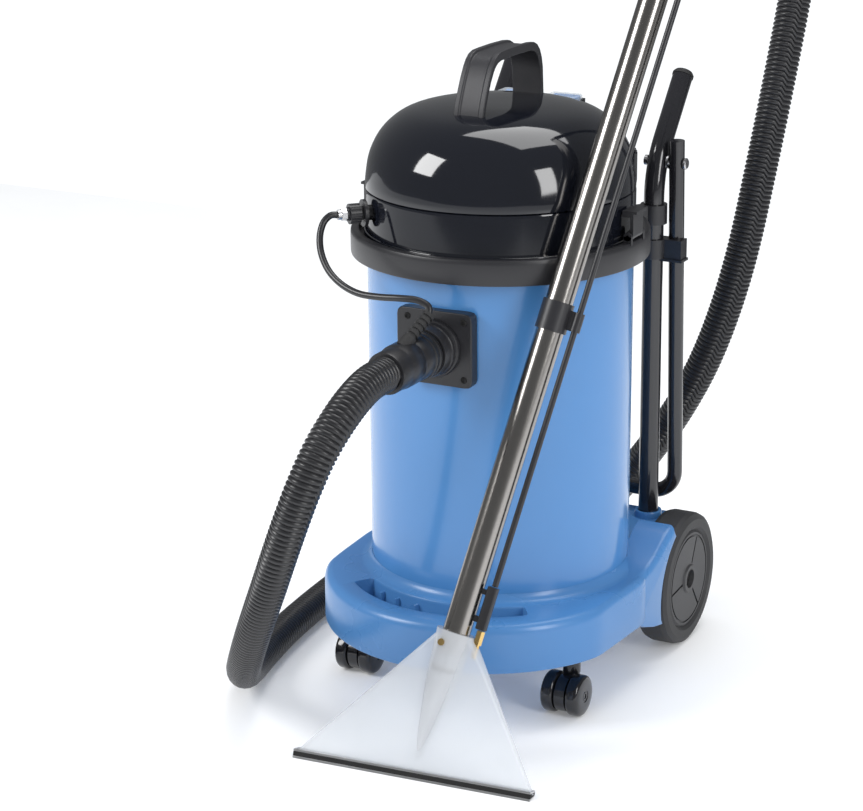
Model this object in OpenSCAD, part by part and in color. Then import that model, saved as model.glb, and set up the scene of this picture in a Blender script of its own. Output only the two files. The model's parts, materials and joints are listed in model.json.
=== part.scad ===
// Tub carpet cleaner: a blue drum on a wheeled chassis, a lift-off motor head, a fold-down
// transport handle, and an extraction wand that leans on the rim with its hose attached.
// Origin on the drum axis at floor level, front (castors and hose inlet) towards -Y, +Z up.

/* [Drum] */
// Outer radius of the drum at its rim
drum_r = 158; // [150:1:160]
// Wall thickness of the drum
drum_wall = 4; // [3:0.5:5]
// Height of the drum's underside above the floor
drum_bottom_z = 92; // [92:1:96]
// Height of the drum's top edge
drum_top_z = 545; // [535:1:545]

/* [Rim ring] */
// Outer radius of the rim ring
ring_r = 177.5; // [176:0.5:180]
// Height of the rim ring's lower edge
ring_bottom_z = 528; // [520:1:530]

/* [Head] */
// Outer radius of the motor head
head_r = 160; // [158:0.5:161]
// Height of the seam between the head band and the dome
seam_z = 606; // [600:1:612]
// Height of the dome's crown
crown_z = 706; // [700:1:712]

/* [Chassis] */
// Radius of the chassis's round front
chassis_r = 196; // [192:1:198]
// Distance of the round front's centre ahead of the drum axis
chassis_front_y = -40; // [-44:1:-36]
// Height of the deck
deck_z = 140; // [138:1:142]
// Height of the skirt's lower edge
skirt_z = 80; // [78:1:84]

/* [Wheels and castors] */
// Radius of the rear wheels
wheel_r = 84; // [82:1:86]
// Width of the rear wheels
wheel_w = 42; // [38:1:42]
// Distance of the rear axle behind the drum axis
axle_y = 163; // [160:1:166]
// Radius of the rear axle
axle_r = 8; // [6:0.5:10]
// Radius of the castor wheels
castor_r = 25; // [24:0.5:26]
// Distance of each castor's swivel axis from the centre line
castor_x = 140; // [130:1:144]
// Distance of the castors' swivel axes ahead of the drum axis
castor_y = -90; // [-96:1:-84]
// Distance that a castor's wheels trail behind its swivel axis
castor_trail = 15; // [12:1:18]

/* [Posts and fold handle] */
// Radius of the main posts
post_r = 12.5; // [11:0.5:13]
// Distance of each main post from the centre line
post_x = 116; // [112:1:118]
// Distance of the main posts behind the drum axis
post_y = 188; // [186:1:190]
// Radius of the fold handle's tube
handle_r = 9.5; // [8:0.5:10]
// Distance of each handle arm from the centre line
handle_x = 141; // [140:1:143]
// Length of the fold handle below its pivot
handle_len = 431; // [420:1:431]

/* [Wand] */
// Outer radius of the wand tube
wand_r = 16; // [15:0.5:16]
// Length of the straight wand above the nozzle lip
wand_len = 1090; // [1000:10:1100]

/* [Hoses] */
// Outer radius of the vacuum hose
hose_r = 20.5; // [19:0.5:21]
// Radius of the solution hose
solution_r = 4; // [3:0.5:4]

/* [Hidden] */
fit = 0.05;
clear = 0.35;

// Rim, seat and head levels
ring_top_z = ring_bottom_z + 30;
shelf_z = drum_top_z + 4;
head_floor_z = shelf_z + 2;
head_wall = 3.5;

// Hose inlet on the drum's front
inlet_z = 450;
inlet_r = 27;
plate_front_y = -170;
cuff_end_y = -285;

// Solution coupling on the head band
coupling_az = 226;
coupling_z = 585;
coupling_end_r = 200;

// Rim latches: pin position and half width
latch_pin_x = 172;
latch_pin_z = 565;
latch_half_w = 14;

// Post bend and handle pivot
bend_r = 110;
bend_z = 560;
bend_angle = 40;
post_top_len = 88;
pivot_y = 198;
pivot_z = 606;
pivot_r = 4;
handle_lean = 2.1;
handle_bend_r = 30;
clip_z = 500;

// Wheels: outer face and arch
wheel_face_x = 186;
arch_r = 100;
hub_r = 62;
hub_boss_r = 17;
fender_x = 145;
side_front = 175.6;
block_x = 137;
block_back_y = 216;
wall_t = 4;

// Castors: half gap between the twin wheels and wheel width
castor_gap = 8;
castor_w = 17;
castor_pin_r = 5.5;
castor_axle_r = 3;

// Nozzle and wand frames
lip_pos = [60, -344, 0];
lip_turn = 4.3;
lip_lean = 21.0;
wand_skew = 10.1;
lip_half = 146;
nozzle_len = 172;
collar_s = 543;
grip_bend_r = 70;
grip_angle = 55;
grip_len = 100;
pipe_off = 28;
pipe_r = 3.5;
valve_s = 1060;

// Routes of the two free hoses
hose_route = [[0, -285, 450], [0, -320, 449], [0, -353, 441], [-3, -384, 424], [-11, -410, 396],
    [-22, -426, 360], [-36, -432, 320], [-53, -430, 278], [-73, -420, 236], [-96, -404, 194],
    [-123, -380, 150], [-152, -348, 108], [-182, -308, 72], [-209, -262, 44], [-232, -212, 27],
    [-249, -156, 21], [-261, -92, 21], [-270, -20, 21], [-277, 60, 21], [-280, 140, 21],
    [-268, 215, 21], [-237, 281, 21], [-186, 328, 21], [-120, 346, 27], [-62, 338, 54],
    [-14, 320, 96], [30, 308, 146], [72, 302, 202], [110, 300, 262], [142, 300, 326],
    [168, 301, 398], [188, 306, 478], [203, 318, 575], [215, 338, 680], [224, 360, 780],
    [229, 381, 868], [232, 392, 938], [234, 389, 998], [235, 369, 1049], [235, 334, 1080], [233.5, 289, 1087],
    [232.3, 246.4, 1078.4]];
solution_route = [[-139, -144, 585], [-145, -150, 585], [-150, -158, 577], [-149, -168, 562], [-141, -178, 545],
    [-126, -187, 529], [-105, -195, 518], [-80, -201, 512], [-52, -204, 512], [-26, -205, 514], [-4, -203, 514],
    [10, -201, 508], [12, -204, 499]];
boot_start = [12, -204, 499];
boot_end = [0, -246, 470];

function cross3(a, b) = [a[1] * b[2] - a[2] * b[1], a[2] * b[0] - a[0] * b[2], a[0] * b[1] - a[1] * b[0]];
function unit(v) = v / norm(v);
function tangent(p, i) = unit(p[min(i + 1, len(p) - 1)] - p[max(i - 1, 0)]);
// Carries a side vector along the route without twist
function carried(p, i, side) = i == 0 ? side
    : let (s = carried(p, i - 1, side), t = tangent(p, i)) unit(s - t * (s * t));
function ring(p, i, r, sides, side) = let (t = tangent(p, i), s = carried(p, i, side), b = cross3(t, s))
    [for (k = [0 : sides - 1]) p[i] + r * (cos(360 * k / sides) * s + sin(360 * k / sides) * b)];

// A tube swept along a list of points
module swept_tube(p, r, sides, side) {
    n = len(p);
    points = [for (i = [0 : n - 1]) each ring(p, i, r, sides, side)];
    walls = [for (i = [0 : n - 2]) for (k = [0 : sides - 1])
        [i * sides + k, i * sides + (k + 1) % sides, (i + 1) * sides + (k + 1) % sides, (i + 1) * sides + k]];
    first = [for (k = [sides - 1 : -1 : 0]) k];
    last = [for (k = [0 : sides - 1]) (n - 1) * sides + k];
    polyhedron(points, concat([for (f = walls) [f[3], f[2], f[1], f[0]]], [[for (k = first) sides - 1 - k]],
        [[for (k = last) 2 * (n - 1) * sides + sides - 1 - k]]));
}

// A plain tube along +Z
module pipe(r, wall, h) {
    difference() {
        cylinder(r = r, h = h, $fn = 48);
        translate([0, 0, -1]) cylinder(r = r - wall, h = h + 2, $fn = 48);
    }
}

// A quarter or part bend of a tube: starts at [r, 0] heading +Y and turns about +Z
module bend(bend_radius, angle, r, wall) {
    rotate_extrude(angle = angle, $fn = 96) translate([bend_radius, 0]) difference() {
        circle(r = r, $fn = 48);
        circle(r = r - wall, $fn = 48);
    }
}

module nozzle_frame() {
    translate(lip_pos) rotate([0, 0, lip_turn]) rotate([-lip_lean, 0, 0]) children();
}

module wand_frame() {
    nozzle_frame() rotate([0, wand_skew, 0]) children();
}

module handle_frame() {
    translate([0, pivot_y, pivot_z]) rotate([handle_lean, 0, 0]) children();
}

module coupling_frame() {
    rotate([0, 0, coupling_az]) translate([0, 0, coupling_z]) rotate([0, 90, 0]) children();
}

// The straight, slightly tapering sides that cut the round front
module side_lines(d) {
    polygon([[-(side_front - d), -245], [side_front - d, -245], [chassis_r - d, 100], [chassis_r - d, 240],
        [-(chassis_r - d), 240], [-(chassis_r - d), 100]]);
}

// The chassis's plan outline, shrunk by a distance all round
module outline(d) {
    intersection() {
        union() {
            translate([0, chassis_front_y]) circle(r = chassis_r - d, $fn = 180);
            translate([-(chassis_r - d), chassis_front_y]) square([2 * (chassis_r - d), 150 - d]);
        }
        side_lines(d);
    }
}

// The crescent tool pocket in the front of the deck
module pocket_outline(d) {
    intersection() {
        difference() {
            translate([0, chassis_front_y]) circle(r = 166 - d, $fn = 180);
            circle(r = 171 + d, $fn = 180);
        }
        translate([-98 + d, -250]) square([196 - 2 * d, 200]);
    }
}

// Side profile of one raised fender ahead of a rear wheel
module fender_profile(d) {
    polygon([[-6 + d, deck_z - 30], [-6 + d, deck_z - d - 3], [26, deck_z + 1 - d], [48, 150 - d], [68, 162 - d],
        [88, 173 - d], [106, 178 - d], [130, 178 - d], [130, 62], [40 + d, 62], [10 + d, 74]]);
}

module chassis() {
    color([0.25, 0.48, 0.8]) difference() {
        union() {
            // skirt and deck
            difference() {
                union() {
                    translate([0, 0, skirt_z]) linear_extrude(deck_z - skirt_z - 10) outline(0);
                    translate([0, 0, deck_z - 10]) linear_extrude(5) outline(2);
                    translate([0, 0, deck_z - 5]) linear_extrude(5) outline(8);
                }
                translate([0, 0, drum_bottom_z]) linear_extrude(deck_z - drum_bottom_z - 10) outline(wall_t);
                translate([0, 0, deck_z - 11]) linear_extrude(7) outline(wall_t + 8);
                translate([0, 0, skirt_z - 1]) linear_extrude(5) outline(wall_t);
                translate([0, 0, skirt_z + 7]) linear_extrude(80) pocket_outline(0);
                translate([-block_x, 60, skirt_z - 1]) cube([2 * block_x, 100, 80]);
                for (s = [-1, 1]) translate([s > 0 ? fender_x + 1 : -chassis_r + 3, 40, skirt_z + 3])
                    cube([chassis_r - fender_x - 4, 60, 80]);
            }
            // pocket walls and floor
            difference() {
                translate([0, 0, skirt_z + 6]) linear_extrude(deck_z - skirt_z - 6) pocket_outline(-3);
                translate([0, 0, skirt_z + 22]) linear_extrude(80) pocket_outline(0);
            }
            // collar that the drum stands in
            translate([0, 0, skirt_z + 8]) difference() {
                cylinder(r = 168, h = deck_z - skirt_z, $fn = 180);
                translate([0, 0, -1]) cylinder(r = 160, h = 100, $fn = 180);
            }
            // fenders
            for (s = [-1, 1]) difference() {
                intersection() {
                    translate([s > 0 ? fender_x : -chassis_r, 0, 0]) rotate([90, 0, 90])
                        linear_extrude(chassis_r - fender_x) fender_profile(0);
                    linear_extrude(300) side_lines(0);
                }
                intersection() {
                    translate([s > 0 ? fender_x + wall_t : -chassis_r + wall_t, 0, 0]) rotate([90, 0, 90])
                        linear_extrude(chassis_r - fender_x - 2 * wall_t) fender_profile(wall_t);
                    linear_extrude(300) side_lines(wall_t);
                }
            }
            // rear block between the wheels
            difference() {
                translate([-block_x, 60, 70]) cube([2 * block_x, block_back_y - 60, 80]);
                translate([-block_x + wall_t, 50, 60]) cube([2 * (block_x - wall_t), block_back_y - 50 - wall_t, 86]);
            }
            for (s = [-1, 1]) {
                translate([s * post_x, post_y, 96]) cylinder(r = post_r + 5, h = 62, $fn = 60);
                translate([s * castor_x, castor_y, 66]) cylinder(r = 13, h = 50, $fn = 48);
                translate([s > 0 ? 100 : -block_x, axle_y, 84]) rotate([0, 90, 0]) cylinder(r = 16, h = block_x - 100, $fn = 48);
            }
        }
        // drum well, wheel arches, and the holes for axle, posts and castor pins
        translate([0, 0, drum_bottom_z]) cylinder(r = 160, h = 200, $fn = 180);
        for (s = [-1, 1]) {
            translate([s > 0 ? block_x + 2 : -chassis_r - 1, axle_y, 84]) rotate([0, 90, 0])
                cylinder(r = arch_r, h = chassis_r - block_x - 1, $fn = 120);
            translate([s * post_x, post_y, 108]) cylinder(r = post_r, h = 60, $fn = 60);
            translate([s * castor_x, castor_y, 60]) cylinder(r = castor_pin_r + fit, h = 46, $fn = 48);
        }
        translate([-chassis_r, axle_y, 84]) rotate([0, 90, 0]) cylinder(r = axle_r, h = 2 * chassis_r, $fn = 48);
    }
}

module drum() {
    color([0.27, 0.5, 0.82]) difference() {
        rotate_extrude($fn = 180) polygon([[0, drum_bottom_z], [drum_r - 10, drum_bottom_z],
            [drum_r - 4, drum_bottom_z + 3], [drum_r - 1, drum_bottom_z + 12], [drum_r, ring_bottom_z - 2],
            [drum_r, drum_top_z], [drum_r - drum_wall, drum_top_z], [drum_r - drum_wall - 1, drum_bottom_z + 14],
            [drum_r - drum_wall - 8, drum_bottom_z + 5], [0, drum_bottom_z + 5]]);
        translate([0, -drum_r + 20, inlet_z]) rotate([90, 0, 0]) cylinder(r = inlet_r, h = 60, $fn = 64);
    }
}

module rim_ring() {
    color([0.09, 0.09, 0.1]) difference() {
        union() {
            rotate_extrude($fn = 180) polygon([[drum_r, ring_bottom_z], [ring_r - 1, ring_bottom_z],
                [ring_r, ring_bottom_z + 1], [ring_r, ring_top_z - 2], [ring_r - 2, ring_top_z],
                [head_r + 7, ring_top_z], [head_r + 7, shelf_z], [drum_r - 5, shelf_z], [drum_r - 5, drum_top_z],
                [drum_r, drum_top_z]]);
            for (s = [-1, 1]) for (e = [-1, 1]) translate([s * latch_pin_x, e * (latch_half_w + 3), latch_pin_z])
                rotate([90, 0, 0]) {
                    translate([0, 0, -2]) cylinder(r = 5, h = 4, $fn = 32);
                    translate([-5, -10, -2]) cube([10, 10, 4]);
                }
            for (s = [-1, 1]) translate([s * latch_pin_x, latch_half_w + 5, latch_pin_z]) rotate([90, 0, 0])
                cylinder(r = 2, h = 2 * latch_half_w + 10, $fn = 24);
        }
    }
}

module rounded_plate(w, h, t, r) {
    linear_extrude(t) union() {
        square([w - 2 * r, h], center = true);
        square([w, h - 2 * r], center = true);
        for (x = [-1, 1]) for (y = [-1, 1]) translate([x * (w / 2 - r), y * (h / 2 - r)]) circle(r = r, $fn = 32);
    }
}

module inlet_plate() {
    color([0.1, 0.1, 0.11]) difference() {
        translate([0, plate_front_y, inlet_z]) rotate([-90, 0, 0]) rounded_plate(96, 88, 22, 9);
        cylinder(r = drum_r, h = 700, $fn = 180);
        translate([0, 0, inlet_z]) rotate([90, 0, 0]) cylinder(r = inlet_r, h = 300, $fn = 64);
        for (x = [-1, 1]) for (z = [-1, 1]) translate([x * 38, plate_front_y + 3, inlet_z + z * 34])
            rotate([90, 0, 0]) cylinder(r = 4.5, h = 10, $fn = 32);
    }
}

module inlet_screws() {
    color([0.3, 0.3, 0.32]) for (x = [-1, 1]) for (z = [-1, 1])
        translate([x * 38, plate_front_y + 3, inlet_z + z * 34]) rotate([90, 0, 0]) difference() {
            cylinder(r = 4, h = 2.6, $fn = 32);
            for (a = [0, 90]) rotate([0, 0, a]) translate([-2.8, -0.5, 1.6]) cube([5.6, 1, 2]);
        }
}

module inlet_collar() {
    color([0.08, 0.08, 0.09]) translate([0, 0, inlet_z]) rotate([90, 0, 0]) rotate_extrude($fn = 96)
        polygon([[23.2, drum_r - 14], [26.8, drum_r - 14], [26.8, -plate_front_y + 0.2], [34, -plate_front_y + 0.2],
            [34, -plate_front_y + 5], [32, -plate_front_y + 6], [31, -plate_front_y + 12],
            [29, -plate_front_y + 26], [23.2, -plate_front_y + 26]]);
}

module hose_cuff_inlet() {
    color([0.07, 0.07, 0.08]) translate([0, 0, inlet_z]) rotate([90, 0, 0]) rotate_extrude($fn = 72)
        polygon([[19.5, 150], [23, 150], [23, 200], [27, 200], [27.5, 214], [26, 218], [26, 258], [24.5, 262],
            [24.5, -cuff_end_y], [15, -cuff_end_y], [15, 255], [19.5, 250]]);
}

module vacuum_hose() {
    color([0.05, 0.05, 0.06]) swept_tube(hose_route, hose_r, 12, [1, 0, 0]);
}

module hose_cuff_wand() {
    color([0.07, 0.07, 0.08]) wand_frame() translate([0, grip_bend_r, wand_len]) rotate([-grip_angle, 0, 0])
        translate([0, -grip_bend_r, grip_len - 34]) difference() {
            union() {
                cylinder(r = 21, h = 46, $fn = 60);
                translate([0, 0, 46]) cylinder(r = 24, h = 36, $fn = 60);
            }
            translate([0, 0, -1]) cylinder(r = wand_r + 0.05, h = 36, $fn = 60);
            translate([0, 0, 30]) cylinder(r = 13, h = 44, $fn = 60);
        }
}

module solution_hose() {
    color([0.05, 0.05, 0.06]) swept_tube(solution_route, solution_r, 10, [0, 0, 1]);
}

// Ribbed boot where the solution hose goes into the vacuum hose's cuff
module solution_boot() {
    d = boot_end - boot_start;
    color([0.06, 0.06, 0.07]) translate(boot_start) rotate([0, acos(d[2] / norm(d)), atan2(d[1], d[0])])
        rotate_extrude($fn = 36) polygon(concat([[0, 0]], [for (i = [0 : 4]) each [[7.4 - i * 0.1, i * 7],
            [7.4 - i * 0.1, i * 7 + 4], [5.6, i * 7 + 4.5], [5.6, i * 7 + 6.5]]], [[8, 36], [8, norm(d)], [0, norm(d)]]));
}

module coupling_socket() {
    color([0.08, 0.08, 0.09]) coupling_frame() {
        translate([0, 0, head_r - 3]) cylinder(r = 9, h = 9, $fn = 40);
        translate([0, 0, head_r + 6]) cylinder(r = 16, h = 4, $fn = 48);
        translate([0, 0, head_r + 10]) cylinder(r = 8, h = 19, $fn = 40);
    }
}

module coupling_sleeve() {
    color([0.12, 0.12, 0.13]) coupling_frame() translate([0, 0, head_r + 13.4]) difference() {
        cylinder(r = 12, h = 13, $fn = 48);
        translate([0, 0, -1]) cylinder(r = 8 + fit, h = 20, $fn = 40);
        for (a = [0 : 20 : 340]) rotate([0, 0, a]) translate([12, 0, -1]) cylinder(r = 0.8, h = 20, $fn = 16);
    }
}

module coupling_plug() {
    color([0.5, 0.5, 0.52]) coupling_frame() translate([0, 0, head_r + 29.4]) {
        cylinder(r = 7.5, h = 6, $fn = 6);
        translate([0, 0, 6]) cylinder(r = 6, h = coupling_end_r - head_r - 35.4, $fn = 40);
    }
}

module solution_tank() {
    color([0.85, 0.87, 0.88]) difference() {
        translate([0, 0, drum_bottom_z + 6]) cylinder(r = 142, h = 150, $fn = 120);
        translate([0, 0, drum_bottom_z + 9]) cylinder(r = 139, h = 144, $fn = 120);
        translate([70, 60, drum_bottom_z + 140]) cylinder(r = 24, h = 60, $fn = 48);
    }
}

// One main post: straight, bent back, straight again
module post(s) {
    color([0.06, 0.06, 0.07]) translate([s * post_x, post_y, 0]) difference() {
        union() {
            translate([0, 0, 108]) pipe(post_r, 2, bend_z - 108);
            translate([0, bend_r, bend_z]) rotate([90, 0, -90]) bend(bend_r, bend_angle, post_r, 2);
            translate([0, bend_r, bend_z]) rotate([-bend_angle, 0, 0]) translate([0, -bend_r, 0])
                pipe(post_r, 2, post_top_len);
        }
        translate([-20, pivot_y - post_y, pivot_z]) rotate([0, 90, 0]) cylinder(r = pivot_r, h = 40, $fn = 32);
    }
}

module post_left() {
    post(-1);
}

module post_right() {
    post(1);
}

module post_caps() {
    color([0.04, 0.04, 0.045]) for (s = [-1, 1]) translate([s * post_x, post_y + bend_r, bend_z])
        rotate([-bend_angle, 0, 0]) translate([0, -bend_r, post_top_len]) {
            translate([0, 0, -16]) cylinder(r = post_r - 2, h = 16, $fn = 48);
            rotate_extrude($fn = 48) polygon([[0, 0], [post_r + 0.8, 0], [post_r + 0.8, 3], [post_r - 1.2, 6], [0, 7]]);
        }
}

// Brackets that tie the rim ring to the main posts
module post_brackets() {
    color([0.08, 0.08, 0.09]) for (s = [-1, 1]) difference() {
        union() {
            translate([s * post_x, post_y, ring_bottom_z + 3]) cylinder(r = post_r + 4, h = 24, $fn = 48);
            rotate([0, 0, s > 0 ? 58.3 : 121.7]) translate([ring_r - 4, -8, ring_bottom_z + 3]) cube([34, 16, 24]);
        }
        cylinder(r = ring_r, h = 700, $fn = 180);
        translate([s * post_x, post_y, 400]) cylinder(r = post_r, h = 200, $fn = 60);
    }
}

// Spring clips that hold the folded handle's arms, open to the back
module handle_clips() {
    color([0.07, 0.07, 0.08]) for (s = [-1, 1]) difference() {
        union() {
            translate([s * post_x, post_y, clip_z - 12]) cylinder(r = post_r + 3.5, h = 24, $fn = 48);
            translate([s > 0 ? post_x + 6 : -154, post_y - 3, clip_z - 12]) cube([154 - post_x - 6, 19, 24]);
            translate([s > 0 ? post_x + 10 : -156, post_y - 5, clip_z - 15]) cube([156 - post_x - 10, 21, 3]);
        }
        translate([s * post_x, post_y, 400]) cylinder(r = post_r, h = 200, $fn = 60);
        handle_frame() translate([s * handle_x, 0, -160]) {
            cylinder(r = handle_r + 0.5, h = 100, $fn = 48);
            translate([-handle_r - 0.5, 0, 0]) cube([2 * handle_r + 1, 40, 100]);
        }
    }
}

module pivot_bolts() {
    span = handle_x + handle_r - post_x + post_r;
    color([0.6, 0.6, 0.62]) for (s = [-1, 1]) translate([s * (post_x - post_r), pivot_y, pivot_z]) rotate([0, s * 90, 0])
        rotate_extrude($fn = 48) polygon([[0, -4], [6.5, -4], [6.5, -0.2], [pivot_r, -0.2], [pivot_r, 2 * post_r + 0.2],
            [8, 2 * post_r + 0.2], [8, 2 * post_r + 2.7], [pivot_r, 2 * post_r + 2.7], [pivot_r, span + 0.4],
            [6.5, span + 0.4], [7, span + 1], [7, span + 3], [5.5, span + 4.2], [0, span + 4.2]]);
}

module fold_handle() {
    color([0.06, 0.06, 0.07]) handle_frame() difference() {
        union() {
            for (s = [-1, 1]) {
                translate([s * handle_x, 0, handle_bend_r - handle_len]) pipe(handle_r, 1.8, handle_len - handle_bend_r + 26);
                translate([s * handle_x, 0, 24]) cylinder(r = handle_r, h = 4, $fn = 48);
                mirror([s > 0 ? 0 : 1, 0, 0]) translate([handle_x - handle_bend_r, 0, handle_bend_r - handle_len])
                    rotate([-90, 0, 0]) bend(handle_bend_r, 90, handle_r, 1.8);
            }
            translate([handle_bend_r - handle_x, 0, -handle_len]) rotate([0, 90, 0])
                pipe(handle_r, 1.8, 2 * (handle_x - handle_bend_r));
        }
        translate([-200, 0, 0]) rotate([0, 90, 0]) cylinder(r = pivot_r + fit, h = 400, $fn = 32);
    }
}

module rear_axle() {
    color([0.55, 0.56, 0.58]) translate([-178, axle_y, 84]) rotate([0, 90, 0]) cylinder(r = axle_r, h = 356, $fn = 48);
}

module axle_caps() {
    color([0.7, 0.7, 0.72]) for (s = [-1, 1]) translate([s * 178, axle_y, 84]) rotate([0, s * 90, 0]) difference() {
        translate([0, 0, -4]) cylinder(r = axle_r + 3, h = 5.5, $fn = 48);
        translate([0, 0, -5]) cylinder(r = axle_r, h = 5, $fn = 48);
    }
}

module tyre(s) {
    h = wheel_w / 2;
    color([0.13, 0.13, 0.14]) translate([s * (wheel_face_x - h), axle_y, 84]) rotate([0, s * 90, 0])
        rotate_extrude($fn = 120) polygon([[hub_r, -h + 4], [hub_r + 4, -h], [wheel_r - 8, -h], [wheel_r - 2, -h + 3],
            [wheel_r, -h + 9], [wheel_r, h - 9], [wheel_r - 2, h - 3], [wheel_r - 8, h], [hub_r + 4, h], [hub_r, h - 4]]);
}

module hub(s) {
    h = wheel_w / 2;
    color([0.2, 0.2, 0.21]) translate([s * (wheel_face_x - h), axle_y, 84]) rotate([0, s * 90, 0]) difference() {
        union() {
            rotate_extrude($fn = 96) polygon([[axle_r + fit, -h], [hub_boss_r, -h], [hub_boss_r, h - 12],
                [hub_r - 4, h - 12], [hub_r - 4, -h + 4], [hub_r, -h + 4], [hub_r, h - 4], [hub_r - 3, h - 2],
                [hub_boss_r + 2, h - 2], [hub_boss_r, h], [axle_r + fit, h]]);
            for (a = [0 : 60 : 300]) rotate([0, 0, a]) translate([hub_boss_r - 1, -2, -h + 8])
                cube([hub_r - hub_boss_r - 2, 4, 2 * h - 18]);
        }
        translate([0, 0, h - 13 + 1]) cylinder(r = axle_r + 4, h = 20, $fn = 48);
        for (a = [35, 155, 275]) rotate([0, 0, a]) translate([20, -1.5, h - 4]) cube([34, 3, 8]);
        rotate_extrude($fn = 96) translate([hub_r - 8, h - 3.5]) square([2.5, 8]);
    }
}

module tyre_left() {
    tyre(-1);
}

module hub_left() {
    hub(-1);
}

module tyre_right() {
    tyre(1);
}

module hub_right() {
    hub(1);
}

// One castor's swivelling housing with its pin and axle
module castor_housing(s) {
    color([0.07, 0.07, 0.08]) translate([s * castor_x, castor_y, 0]) {
        translate([0, 0, 50]) cylinder(r = castor_pin_r, h = 54, $fn = 48);
        translate([0, 0, 50]) cylinder(r = 11, h = 15.5, $fn = 48);
        translate([0, -castor_trail, castor_r]) difference() {
            union() {
                translate([-castor_gap + 1, 0, 0]) rotate([0, 90, 0]) cylinder(r = castor_r - 3, h = 2 * castor_gap - 2, $fn = 64);
                translate([-castor_gap + 1, 0, 0]) cube([2 * castor_gap - 2, castor_trail + 9, 27]);
                intersection() {
                    translate([-castor_gap - castor_w + 1, 0, 0]) rotate([0, 90, 0]) difference() {
                        cylinder(r = castor_r + 4.5, h = 2 * (castor_gap + castor_w) - 2, $fn = 80);
                        translate([0, 0, -1]) cylinder(r = castor_r + 1.5, h = 60, $fn = 80);
                    }
                    translate([-40, -40, 12]) cube([80, 80, 40]);
                }
            }
            translate([-30, -50, -30]) cube([60, 30, 20]);
        }
        translate([-castor_gap - castor_w + 2, -castor_trail, castor_r]) rotate([0, 90, 0])
            cylinder(r = castor_axle_r, h = 2 * (castor_gap + castor_w) - 4, $fn = 32);
    }
}

module castor_left() {
    castor_housing(-1);
}

module castor_right() {
    castor_housing(1);
}

// One castor wheel, on one side of its housing
module castor_wheel(s, e) {
    color([0.09, 0.09, 0.1]) translate([s * castor_x, castor_y - castor_trail, castor_r]) rotate([0, e * 90, 0])
        translate([0, 0, castor_gap]) rotate_extrude($fn = 64) polygon([[castor_axle_r + fit, 0], [9, 0], [9, 2],
            [castor_r - 5, 2], [castor_r - 5, 0], [castor_r - 2, 0], [castor_r, 3], [castor_r, castor_w - 6],
            [castor_r - 3, castor_w - 2], [castor_r - 8, castor_w], [7, castor_w], [6, castor_w - 1.5],
            [castor_axle_r + fit, castor_w - 1.5]]);
}

module castor_wheel_lo() {
    castor_wheel(-1, -1);
}

module castor_wheel_li() {
    castor_wheel(-1, 1);
}

module castor_wheel_ri() {
    castor_wheel(1, -1);
}

module castor_wheel_ro() {
    castor_wheel(1, 1);
}

module wand_lower() {
    color([0.78, 0.77, 0.75]) wand_frame() translate([0, 0, nozzle_len - 24]) pipe(wand_r, 1.2, collar_s - nozzle_len + 24);
}

module wand_upper() {
    color([0.78, 0.77, 0.75]) wand_frame() {
        translate([0, 0, collar_s]) pipe(wand_r, 1.2, wand_len - collar_s);
        translate([0, grip_bend_r, wand_len]) rotate([90, 0, -90]) bend(grip_bend_r, grip_angle, wand_r, 1.2);
        translate([0, grip_bend_r, wand_len]) rotate([-grip_angle, 0, 0]) translate([0, -grip_bend_r, 0])
            pipe(wand_r, 1.2, grip_len);
    }
}

module wand_collar() {
    color([0.06, 0.06, 0.07]) wand_frame() translate([0, 0, collar_s - 17]) difference() {
        union() {
            cylinder(r = wand_r + 2.2, h = 34, $fn = 60);
            translate([pipe_off, 0, 6]) cylinder(r = pipe_r + 2.5, h = 22, $fn = 32);
            translate([wand_r, -3, 6]) cube([pipe_off - wand_r - 2, 6, 22]);
        }
        translate([0, 0, -1]) cylinder(r = wand_r, h = 40, $fn = 60);
        translate([pipe_off, 0, -1]) cylinder(r = pipe_r, h = 40, $fn = 32);
    }
}

module wand_grip() {
    color([0.07, 0.07, 0.08]) wand_frame() translate([0, grip_bend_r, wand_len]) rotate([-grip_angle, 0, 0])
        translate([0, -grip_bend_r, 4]) difference() {
            cylinder(r = wand_r + 3.5, h = 60, $fn = 60);
            translate([0, 0, -1]) cylinder(r = wand_r, h = 70, $fn = 60);
            for (i = [0 : 6]) translate([0, 0, 8 + i * 7]) rotate_extrude($fn = 60)
                translate([wand_r + 2.5, 0]) square([3, 2.5]);
        }
}

module trigger_valve() {
    color([0.08, 0.08, 0.09]) wand_frame() translate([0, 0, valve_s]) difference() {
        union() {
            translate([0, 0, -40]) cylinder(r = wand_r + 3, h = 52, $fn = 60);
            translate([wand_r, -10, -38]) cube([17, 20, 46]);
            for (y = [-10, 7.2]) translate([32, y, -8]) cube([12, 2.8, 16]);
        }
        translate([0, 0, -50]) cylinder(r = wand_r, h = 80, $fn = 60);
        translate([pipe_off, 0, -40]) cylinder(r = pipe_r, h = 12, $fn = 32);
    }
    color([0.6, 0.6, 0.62]) wand_frame() translate([pipe_off + 10, 9, valve_s]) rotate([90, 0, 0])
        cylinder(r = 2, h = 18, $fn = 24);
}

module trigger() {
    color([0.75, 0.12, 0.1]) wand_frame() translate([pipe_off + 10, 0, valve_s]) difference() {
        union() {
            rotate([90, 0, 0]) translate([0, 0, -6.5]) cylinder(r = 4.5, h = 13, $fn = 32);
            translate([0, -6.5, -62]) cube([4, 13, 62]);
        }
        rotate([90, 0, 0]) translate([0, 0, -10]) cylinder(r = 2 + fit, h = 20, $fn = 24);
    }
}

module solution_pipe() {
    color([0.05, 0.05, 0.055]) wand_frame() translate([pipe_off, 0, nozzle_len + 62])
        pipe(pipe_r, 1, valve_s - 28 - nozzle_len - 62);
}

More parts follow.
